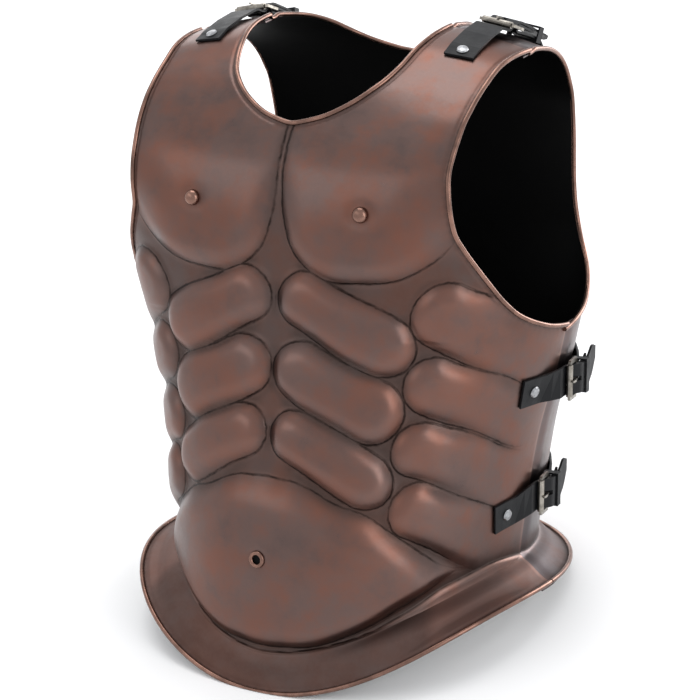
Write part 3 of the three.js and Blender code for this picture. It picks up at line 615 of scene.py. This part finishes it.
def paint_marks(plate, relief, edge, below_root, angle, level):
    """Masks for the finish. tarnish gathers in hollows and beside rolled edges, and also holds a
    painted shadow along the breastplate's edge where the plates lap at the side; worn lies on whatever
    stands proud, and also holds a painted highlight on the bare edge at the side and on the flange;
    root is the distance below the flange's root, in levels."""
    p = PAINTING
    local = (relief - blurred(relief, p["local_blur"])) / p["local_full"]
    broad = relief - blurred(relief, p["broad_blur"])
    beside = np.maximum(edge - p["rolled_from"], 0) / p["rolled_run"]
    tarnish_and_shade = p["hollow"] * np.clip(-local, 0, 1) + p["rolled"] * np.exp(-beside ** p["rolled_power"])
    tarnish_and_shade += p["broad_hollow"] * np.clip(-broad / p["hollow_full"], 0, 1)
    wear_and_highlight = p["proud"] * np.clip(local, 0, 1) + p["broad_proud"] * np.clip(broad / p["proud_full"], 0, 1)
    degrees = np.degrees(angle)
    low = level < WAIST_TOP_LEVEL
    if plate["behind"]:
        # painted shadow along the breastplate's edge, on the backplate beside the lap
        shadow = np.exp(-((degrees - 90) / p["side_shadow_degrees"]) ** 2)
        tarnish_and_shade += p["side_shadow"] * shadow * low
    else:
        # a painted highlight along the breastplate's bare edge at the side
        wear_and_highlight = np.maximum(wear_and_highlight, p["side_highlight"] * (degrees > p["side_highlight_degrees"]) * low)
        # a painted highlight on the flange, strongest towards the hip
        w = FLANGE_HIGHLIGHT
        hip = w["hip"] * np.exp(-((across(angle, level) - w["across"]) / w["spread"]) ** 2)
        wear_and_highlight += (hip + w["everywhere"]) * smoothstep(*w["run"], below_root)
    return dict(
        tarnish_and_shade=np.clip(tarnish_and_shade, 0, 1), wear_and_highlight=wear_and_highlight,
        root=np.clip(below_root, -ROOT_REACH, ROOT_REACH))


def assemble(plate, outer, inner, joined, marks):
    """Points and faces of both halves, with the middle column shared below the neck, and which
    material each face has."""
    o_count, i_count = outer[..., 0].size, inner[..., 0].size
    o_first = np.arange(o_count).reshape(outer.shape[:2])
    i_first = o_count + np.arange(i_count).reshape(inner.shape[:2])
    both = np.concatenate([outer.reshape(-1, 3), inner.reshape(-1, 3)])
    neck = np.flatnonzero(joined)[-1]
    faces, choice = [], []
    for mirrored in (False, True):
        o_ids = o_first + len(both) * mirrored
        i_ids = i_first + len(both) * mirrored
        o_ids[joined, 0] = o_first[joined, 0]
        i_ids[joined[::2], 0] = i_first[joined[::2], 0]
        flip = mirrored != plate["behind"]
        rim = np.concatenate([
            seam(o_ids[0], i_ids[0], not flip), seam(o_ids[:, -1], i_ids[:, -1], not flip),
            seam(o_ids[-1], i_ids[-1], flip), seam(o_ids[neck:, 0], i_ids[neck // 2:, 0], flip),
        ])
        for part, kind in (
            (grid_faces(o_ids, flip), OUTSIDE), (grid_faces(i_ids, not flip), INSIDE), (rim, OUTSIDE),
        ):
            faces += part.tolist()
            choice += [kind] * len(part)
    points = np.concatenate([both, both * (-1, 1, 1)])
    used = np.zeros(len(points), bool)
    used[[i for face in faces for i in face]] = True
    renumber = (np.cumsum(used) - 1).tolist()
    faces = [[renumber[i] for i in face] for face in faces]
    unmarked = np.zeros(i_count)
    painted = {
        name: np.concatenate([values.ravel(), unmarked] * 2)[used] for name, values in marks.items()
    }
    return dict(points=points[used], faces=faces, choice=choice, marks=painted)


# ---- meshes
SHARP_DEGREES = 35         # edges that turn more than this are drawn sharp


def put(name, data):
    """A new object in the scene."""
    obj = bpy.data.objects.new(name, data)
    bpy.context.scene.collection.objects.link(obj)
    return obj


def new_piece(name, points, faces, materials, nodes, choice, marks):
    """Puts points and faces into a piece that rides with the armour and stands for CAD nodes."""
    mesh = bpy.data.meshes.new(name)
    mesh.from_pydata(stand(points).tolist(), [], faces)
    for material in materials:
        mesh.materials.append(material)
    mesh.polygons.foreach_set("material_index", np.asarray(choice, np.int32))
    for label, values in marks.items():
        layer = mesh.attributes.new(label, "FLOAT", "POINT")
        layer.data.foreach_set("value", np.asarray(values, np.float32))
    mesh.shade_smooth()
    mesh.set_sharp_from_angle(angle=math.radians(SHARP_DEGREES))
    mesh.update()
    obj = put(name, mesh)
    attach(obj, "root")
    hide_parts(*nodes)


# ---- materials
class Finish:
    """A node material for one finish, with short calls for the nodes that it needs."""

    def __init__(self, name):
        self.material = bpy.data.materials.new(name)
        self.material.use_nodes = True
        self.tree = self.material.node_tree
        self.shader = self.tree.nodes["Principled BSDF"]
        self.place = self.add("ShaderNodeTexCoord").outputs["Object"]

    def add(self, kind, **settings):
        """A new node of a kind, with its own settings."""
        node = self.tree.nodes.new(kind)
        for key, value in settings.items():
            setattr(node, key, value)
        return node

    def link(self, source, target):
        """Joins two sockets."""
        self.tree.links.new(source, target)

    def noise(self, scale, detail=4.0, roughness=0.55):
        """Cloudy variation; scale is in cells to the metre."""
        node = self.add("ShaderNodeTexNoise")
        node.inputs["Scale"].default_value = scale
        node.inputs["Detail"].default_value = detail
        node.inputs["Roughness"].default_value = roughness
        self.link(self.place, node.inputs["Vector"])
        return node.outputs["Fac"]

    def mark(self, name):
        """A mask that is kept on the piece's points."""
        node = self.add("ShaderNodeAttribute", attribute_name=name)
        return node.outputs["Fac"]

    def span(self, source, low, high, to_low=0.0, to_high=1.0):
        """Source between low and high, spread to run from to_low to to_high."""
        node = self.add("ShaderNodeMapRange")
        node.inputs["From Min"].default_value = low
        node.inputs["From Max"].default_value = high
        node.inputs["To Min"].default_value = to_low
        node.inputs["To Max"].default_value = to_high
        self.link(source, node.inputs["Value"])
        return node.outputs["Result"]

    def math(self, operation, a, b=0.0):
        """A sum of two sockets or numbers."""
        node = self.add("ShaderNodeMath", operation=operation)
        for socket, value in zip(node.inputs, (a, b)):
            if isinstance(value, (int, float)):
                socket.default_value = value
            else:
                self.link(value, socket)
        return node.outputs[0]

    def near(self, source, width):
        """1 where the source is 0, falling smoothly to 0 at a width from it."""
        node = self.add("ShaderNodeMapRange", interpolation_type="SMOOTHSTEP")
        self.link(self.math("ABSOLUTE", source), node.inputs["Value"])
        node.inputs["From Max"].default_value = width
        node.inputs["To Min"].default_value = 1
        node.inputs["To Max"].default_value = 0
        return node.outputs["Result"]

    def mix(self, factor, first, second):
        """Colour between two colours or sockets."""
        node = self.add("ShaderNodeMix", data_type="RGBA")
        # the node's sockets for a factor and two colours
        for number, value in ((0, factor), (6, first), (7, second)):
            socket = node.inputs[number]
            if isinstance(value, (int, float)):
                socket.default_value = value
            elif isinstance(value, tuple):
                socket.default_value = (*value, 1)
            else:
                self.link(value, socket)
        return node.outputs[2]

    def bump(self, height, strength, distance, under=None):
        """A normal tilted by a height, over another normal if there is one."""
        node = self.add("ShaderNodeBump")
        node.inputs["Strength"].default_value = strength
        node.inputs["Distance"].default_value = distance
        self.link(height, node.inputs["Height"])
        if under is not None:
            self.link(under, node.inputs["Normal"])
        return node.outputs["Normal"]

    def wear(self, colour, roughness, normal=None, metallic=0.0, specular=0.5):
        """The finished material: the shader's inputs joined to sockets or set to numbers."""
        for label, value in (
            ("Base Color", colour), ("Roughness", roughness), ("Normal", normal),
            ("Metallic", metallic), ("Specular IOR Level", specular),
        ):
            if isinstance(value, float):
                self.shader.inputs[label].default_value = value
            elif value is not None:
                self.link(value, self.shader.inputs[label])
        return self.material


def deepest_two(f):
    """The largest and the next largest of the outline fields, made a little unsteady."""
    first = f.mark("set_0")
    second = f.math("MINIMUM", first, -99.0)
    for name in ("set_1", "set_2", "set_3", "pectoral", "belly"):
        field = f.mark(name)
        second = f.math("MAXIMUM", second, f.math("MINIMUM", first, field))
        first = f.math("MAXIMUM", first, field)
    shake = f.span(f.noise(170, 2), 0.2, 0.8, -0.5, 0.5)
    return f.math("ADD", first, shake), second


def outline_mask(f, first, second, width):
    """1 where the deepest outline field crosses 0 or meets the next, falling off over a width."""
    meeting = f.near(f.math("SUBTRACT", first, second), 1.5 * width)
    meeting = f.math("MULTIPLY", meeting, f.span(second, -1.5, 0.5))
    line = f.math("MAXIMUM", f.near(first, width), meeting)
    return f.math("MULTIPLY", line, f.mark("chased"))


# Metal colours of the two plates. The backplate's are greyer and lilac: a painted reflection of the
# pale surroundings at a grazing angle. The backplate has turned greyer.
FRONT_METAL = dict(
    brown=(0.158, 0.078, 0.060), dull=(0.132, 0.086, 0.076), red=(0.185, 0.077, 0.053),
    grey=(0.098, 0.074, 0.070), rubbed_and_highlight=(0.220, 0.132, 0.112), lip=(0.240, 0.150, 0.125),
)
BACK_METAL_GREYED_BY_REFLECTION = dict(
    brown=(0.125, 0.085, 0.080), dull=(0.108, 0.088, 0.090), red=(0.145, 0.084, 0.072),
    grey=(0.086, 0.076, 0.080), rubbed_and_highlight=(0.175, 0.140, 0.138), lip=(0.190, 0.150, 0.146),
)
# grey of the patina, and of the painted shadow along the breastplate's edge on the backplate
TARNISH_AND_SHADE = (0.046, 0.037, 0.034)
# near black of the chased lines and the root's crease: grime with painted shade
LINE_DIRT_AND_SHADE = (0.010, 0.007, 0.006)


def bronze_finish(name, metal):
    """Antique copper-bronze: red-brown metal, pinker where the wear shows and where highlights are
    painted, grey-brown in clouds, with grey patina in the hollows and beside the rolled edges, a
    painted shadow beside the side lap on the backplate, a painted highlight on the step of the flange's
    root, and nearly black chased lines of grime and painted shade."""
    f = Finish(name)
    cloud = f.noise(12, 5, 0.6)
    blotch = f.noise(34, 6, 0.65)
    fleck = f.noise(420, 3, 0.6)
    # the bare metal, in clouds, pinker where it stands proud and wears, and the same pinker colour as a
    # painted highlight on the breastplate's side edge and flange
    colour = f.mix(f.span(cloud, 0.40, 0.58), metal["brown"], metal["dull"])
    colour = f.mix(f.span(blotch, 0.50, 0.68, 0, 0.6), colour, metal["red"])
    colour = f.mix(f.span(blotch, 0.48, 0.30, 0, 0.6), colour, metal["grey"])
    colour = f.mix(f.math("MULTIPLY", f.mark("wear_and_highlight"), 0.4), colour, metal["rubbed_and_highlight"])
    # tarnish in the valleys between the lobes, beside their outlines and above the flange; the mask
    # kept on the points also brings the painted shadow beside the side lap
    first, second = deepest_two(f)
    valley = f.math("MULTIPLY", f.span(first, 1.0, -2.5, 0, 0.55), f.mark("chased"))
    tarnish_and_shade = f.math("MAXIMUM", f.mark("tarnish_and_shade"), valley)
    halo = f.math("MULTIPLY", outline_mask(f, first, second, HALO_WIDTH), 0.6)
    root = f.mark("root")
    root_hollow = f.math("MULTIPLY", f.near(root, 0.42), f.span(root, 0.03, -0.03))
    tarnish_and_shade = f.math("MAXIMUM", f.math("MAXIMUM", tarnish_and_shade, halo), root_hollow)
    tarnish_and_shade = f.math("MULTIPLY", tarnish_and_shade, f.span(blotch, 0.3, 0.7, 0.7, 1.1))
    colour = f.mix(f.math("MULTIPLY", tarnish_and_shade, 0.85), colour, TARNISH_AND_SHADE)
    # the painted highlight on the step at the flange's root, and grime with painted shade in the chased
    # lines and the crease at the root
    lip = f.math("MULTIPLY", f.near(f.math("SUBTRACT", root, 0.07), 0.06), 0.45)
    colour = f.mix(lip, colour, metal["lip"])
    line = outline_mask(f, first, second, LINE_WIDTH)
    # grime and painted shade in the chased lines and in the crease at the flange's root
    dirt_and_shade = f.math("MAXIMUM", line, f.near(root, 0.05))
    dirt_and_shade = f.math("MULTIPLY", dirt_and_shade, f.span(f.noise(80, 3), 0.35, 0.6, 0.30, 0.85))
    colour = f.mix(dirt_and_shade, colour, LINE_DIRT_AND_SHADE)
    # tarnish and the flange are duller than the rest
    rough = f.math("ADD", f.span(fleck, 0.3, 0.7, 0.0, 0.05), f.span(blotch, 0.3, 0.7, 0.26, 0.37))
    rough = f.math("ADD", rough, f.math("MULTIPLY", tarnish_and_shade, 0.12))
    rough = f.math("ADD", rough, f.span(root, 0.1, 0.7, 0, 0.20))
    # broad unevenness, fine pits, the chased lines and the step at the root
    normal = f.bump(f.noise(30, 3, 0.5), 0.30, 0.0014)
    normal = f.bump(fleck, 0.05, 0.0002, normal)
    normal = f.bump(f.math("SUBTRACT", 1.0, line), 0.6, 0.0007, normal)
    normal = f.bump(f.span(root, -0.06, 0.06), 0.7, 0.0010, normal)
    return f.wear(colour, rough, normal, metallic=1.0)


def patchy_metal(name, patches, fade, bright, dull, rough, marks):
    """Metal that is bright in patches and dull in others, with fine marks. patches is a noise, fade
    where in it bright turns dull, and marks the scale, strength and depth of the marks."""
    f = Finish(name)
    cloud = f.noise(*patches)
    scale, strength, depth = marks
    colour = f.mix(f.span(cloud, *fade), bright, dull)
    normal = f.bump(f.noise(scale, 2), strength, depth)
    return f.wear(colour, f.span(cloud, 0.3, 0.7, *rough), normal, metallic=1.0)


def black_paint():
    """Satin black paint inside the plates, a little uneven."""
    f = Finish("black_paint")
    cloud = f.noise(14, 4)
    colour = f.mix(cloud, (0.0, 0.0, 0.0), (0.0006, 0.0006, 0.0007))
    rough = f.span(cloud, 0.3, 0.7, 0.42, 0.55)
    normal = f.bump(f.noise(500, 2), 0.12, 0.0003)
    return f.wear(colour, rough, normal, specular=0.08)


def leather_finish():
    """Black waxed leather: fine grain, faint creases, a soft bluish sheen."""
    f = Finish("black_leather")
    grain = f.noise(1500, 3, 0.6)
    cloud = f.noise(60, 4)
    colour = f.mix(cloud, (0.002, 0.0022, 0.003), (0.006, 0.0065, 0.008))
    rough = f.span(cloud, 0.3, 0.7, 0.42, 0.58)
    normal = f.bump(grain, 0.25, 0.0003)
    normal = f.bump(f.noise(240, 3), 0.2, 0.0006, normal)
    return f.wear(colour, rough, normal, specular=0.22)


BRONZE = bronze_finish("antique_bronze", FRONT_METAL)
# the backplate's greyer metal, a painted reflection of the pale surroundings
BRONZE_GREYED_BY_REFLECTION = bronze_finish("bronze_greyed_by_painted_reflection", BACK_METAL_GREYED_BY_REFLECTION)
RUBBED = patchy_metal(
    "rubbed_bead", (55, 5, 0.6), (0.35, 0.70), (0.260, 0.145, 0.112), (0.120, 0.072, 0.058),
    (0.22, 0.34), (300, 0.06, 0.0003))
PAINT = black_paint()
LEATHER = leather_finish()
NICKEL = patchy_metal(
    "aged_nickel", (160, 4), (0.35, 0.65), (0.36, 0.335, 0.295), (0.17, 0.155, 0.135),
    (0.24, 0.40), (700, 0.05, 0.0002))
STEEL = patchy_metal(
    "tumbled_steel", (260, 4), (0.35, 0.65), (0.40, 0.41, 0.42), (0.22, 0.22, 0.23),
    (0.26, 0.42), (900, 0.08, 0.0002))

# ---- the two plates
# hem_side is the angle at which the rolled hem ends. The armhole's edge is rolled from arm_from on.
BREASTPLATE = dict(
    name="breastplate_skin", node="breastplate", metal=BRONZE, behind=False, columns=118, low_rows=150,
    middle_rows=80, neck_rows=62, neck=FRONT_NECK, armhole=FRONT_ARMHOLE,
    hem_side=math.pi / 2 - 0.004, arm_from=0.0,
)
BACKPLATE = dict(
    name="backplate_skin", node="backplate", metal=BRONZE_GREYED_BY_REFLECTION, behind=True, columns=64, low_rows=80,
    middle_rows=44, neck_rows=36, neck=BACK_NECK, armhole=BACK_ARMHOLE,
    hem_side=math.radians(90.3), arm_from=0.02,
)


def spot_on_chest(s, z, lift):
    """Point on the skin at a place across and up, the nearest of a fine grid, raised by lift, with
    the outward, sideways and upward directions there."""
    angle, level = np.meshgrid(np.linspace(0, 1, 400), np.linspace(1, 13, 1200))
    gap = np.hypot(across(angle, level) - s, skin(angle, level)[..., 2] - z)
    at = np.unravel_index(gap.argmin(), gap.shape)
    normal = skin_normal(angle[at], level[at])
    side = unit(skin(angle[at] + 0.01, level[at]) - skin(angle[at], level[at]))
    return skin(angle[at], level[at]) + normal * lift, normal, side, np.cross(side, normal)


def relief_at(s, z):
    """Height of the relief at one place."""
    return float(embossing(np.array([float(s)]), np.array([float(z)]))[0])


def nipple_dome(hand):
    """A low dome on the chest: circles that shrink with the cosine and climb with the sine of an
    angle, closed at the top and underneath."""
    climb = np.linspace(NIPPLE["start"], math.pi / 2, DOME_RINGS)[:, None, None]
    turn = np.linspace(0, 2 * math.pi, DOME_SIDES, endpoint=False)[None, :, None]
    lift = relief_at(NIPPLE["across"], NIPPLE["height"])
    middle, normal, side, up = spot_on_chest(NIPPLE["across"], NIPPLE["height"], lift)
    out = side * np.cos(turn) + up * np.sin(turn)
    reach = NIPPLE["radius"] * np.maximum(np.cos(climb), NIPPLE["tip"]) ** NIPPLE["bluff"]
    points = middle + reach * out + NIPPLE["rise"] * np.sin(climb) * normal
    ids = rings(DOME_RINGS, DOME_SIDES)
    faces = grid_faces(ids).tolist() + end_faces(ids)
    points = points.reshape(-1, 3) * (hand, 1, 1)
    return points, faces_outward(points, faces, middle[None, :] * (hand, 1, 1))


def navel_hole():
    """A black disc that stands for the shade in the middle of the navel's dent: a short closed cylinder
    let into the skin, in the black inside paint.
    """
    lift = relief_at(NAVEL["ring"], NAVEL["height"]) + NAVEL["hole_lift"]
    middle, normal, side, up = spot_on_chest(0.0, NAVEL["height"], lift)
    centre = middle + np.array([[-NAVEL["hole_depth"]], [0.0]]) * normal
    points, faces = ring_grid(
        centre, np.tile(side, (2, 1)), np.tile(up, (2, 1)), NAVEL["hole"], SHADE_DISC_SIDES)
    return points, faces_outward(points, faces, centre)


def navel_ring():
    """The raised ring of the navel: a round wire bent in a circle on the skin of the belly."""
    lift = relief_at(NAVEL["ring"], NAVEL["height"]) + NAVEL["ring_lift"]
    middle, normal, side, up = spot_on_chest(0.0, NAVEL["height"], lift)
    turn = np.linspace(0, 2 * math.pi, RING_STEPS, endpoint=False)
    out = np.cos(turn)[:, None] * side + np.sin(turn)[:, None] * up
    centre = middle + NAVEL["ring"] * out
    points, faces = ring_grid(
        centre, out, np.tile(normal, (RING_STEPS, 1)), NAVEL["wire"], WIRE_SIDES, closed=True)
    return points, faces_outward(points, faces, centre)


def make_plate(plate):
    """One plate with its rolled edges, and on the chest the navel and the nipples, as one piece."""
    shell, paths = plate_shell(plate)
    details = []
    for path in paths:
        runs = (mirrored_path(path[key], path["join"]) for key in ("centre", "normal", "side"))
        for centre, normal, side in zip(*runs):
            spots, wire = ring_grid(centre, normal, side, BEAD, WIRE_SIDES)
            details.append((spots, faces_outward(spots, wire, centre), ROLLED))
    if not plate["behind"]:
        # on the chest: the navel's ring, a black disc for the painted shade in its dent, and the
        # nipples
        details += [
            (*navel_ring(), ROLLED), (*navel_hole(), INSIDE),
            (*nipple_dome(1), ROLLED), (*nipple_dome(-1), ROLLED),
        ]
    points, faces, choice = [shell["points"]], list(shell["faces"]), list(shell["choice"])
    painted = {name: [values] for name, values in shell["marks"].items()}
    count = len(shell["points"])
    for spots, own_faces, material in details:
        points.append(spots)
        faces += [[i + count for i in face] for face in own_faces]
        choice += [material] * len(own_faces)
        for name, values in painted.items():
            values.append(np.full(len(spots), DETAIL_MARKS.get(name, FAR_FROM_LINES)))
        count += len(spots)
    new_piece(
        plate["name"], np.concatenate(points), faces, (plate["metal"], PAINT, RUBBED),
        [plate["node"]], choice,
        {name: np.concatenate(values) for name, values in painted.items()})


make_plate(BREASTPLATE)
make_plate(BACKPLATE)

# ---- carried-over pieces
for name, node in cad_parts.items():
    if name in ("breastplate", "backplate"):
        continue
    if name.endswith(("strap", "keeper")):
        finish = LEATHER
    elif name.endswith("rivet"):
        finish = STEEL
    else:
        finish = NICKEL
    node.data.materials.clear()
    node.data.materials.append(finish)

# ---- floor, light and camera
def stage_plane(name, size, height, colour, roughness):
    """A square sheet of ground in a fine grid."""
    line = np.linspace(-size / 2, size / 2, GROUND_LINES)
    x, y = np.meshgrid(line, line)
    points = np.stack([x, y, np.full_like(x, height)], -1).reshape(-1, 3)
    ids = np.arange(GROUND_LINES ** 2).reshape(GROUND_LINES, GROUND_LINES)
    mesh = bpy.data.meshes.new(name)
    mesh.from_pydata(points.tolist(), [], grid_faces(ids).tolist())
    f = Finish(name)
    tone = f.mix(f.noise(3, 2), colour, tuple(c * 0.985 for c in colour))
    mesh.materials.append(f.wear(tone, roughness))
    obj = put(name, mesh)


# just below the feet, so that the two never share a plane
stage_plane("floor", 30.0, -0.0006, (0.93, 0.93, 0.93), 0.85)


def placed(right, up, back, place):
    """The matrix of an object whose own axes run right, up and back."""
    return Matrix([*np.column_stack([right, up, back, place]).tolist(), (0, 0, 0, 1)])


MIDDLE = np.array([0.0, 0.0, 0.28])   # of the armour, in metres


def softbox(name, place, size, power):
    """A rectangular area light that faces the middle of the armour."""
    data = bpy.data.lights.new(name, "AREA")
    data.shape = "RECTANGLE"
    data.size, data.size_y = size
    data.energy = power
    back = unit(np.array(place, float) - MIDDLE)
    right = unit(np.cross([0, 0, 1.0], back))
    put(name, data).matrix_world = placed(right, np.cross(back, right), back, place)


SOFTBOXES = [
    # name, place, width and height in metres, power in watts
    ("key_softbox", (-1.4, -2.0, 1.7), (2.2, 1.2), 7),
    ("fill_softbox", (2.4, -0.7, 1.1), (1.2, 2.0), 18),
    ("top_softbox", (-0.40, 0.60, 2.45), (1.6, 1.4), 20),
    ("side_softbox", (1.15, 2.4, 0.75), (1.5, 1.3), 34),
    ("back_softbox", (-1.4, 1.9, 1.2), (1.2, 1.6), 8),
]
for box in SOFTBOXES:
    softbox(*box)

world = bpy.data.worlds.new("studio")
world.use_nodes = True
sky = world.node_tree.nodes["Background"].inputs
sky["Color"].default_value = (0.94, 0.95, 0.97, 1)
sky["Strength"].default_value = 1.0
bpy.context.scene.world = world
bpy.context.scene.view_settings.view_transform = "Standard"

VIEW_TURN = math.radians(30)      # round to the wearer's left
VIEW_RISE = math.radians(14)      # above the upright armour's level
VIEW_DISTANCE = 2007.0
VIEW_AIM = np.array([0, 0, 265.0])  # on the upright armour
LENS = 117.0                      # millimetres, as is the sensor's width
SENSOR_WIDTH = 36.0


def make_camera():
    """The camera keeps its place to the upright armour, so it leans back with it."""
    right = np.array([math.cos(VIEW_TURN), math.sin(VIEW_TURN), 0])
    back = np.array([
        math.sin(VIEW_TURN) * math.cos(VIEW_RISE), -math.cos(VIEW_TURN) * math.cos(VIEW_RISE),
        math.sin(VIEW_RISE)])
    up = np.cross(back, right)
    place = (lean(VIEW_AIM + VIEW_DISTANCE * back) + (0, STAND_BACK, STAND_UP)) * MM
    right, up, back = lean(right), lean(up), lean(back)
    data = bpy.data.cameras.new("camera")
    data.lens = LENS
    data.sensor_width = SENSOR_WIDTH
    data.clip_start, data.clip_end = 0.05, 60
    camera = put("camera", data)
    camera.matrix_world = placed(right, up, back, place)
    bpy.context.scene.camera = camera


make_camera()
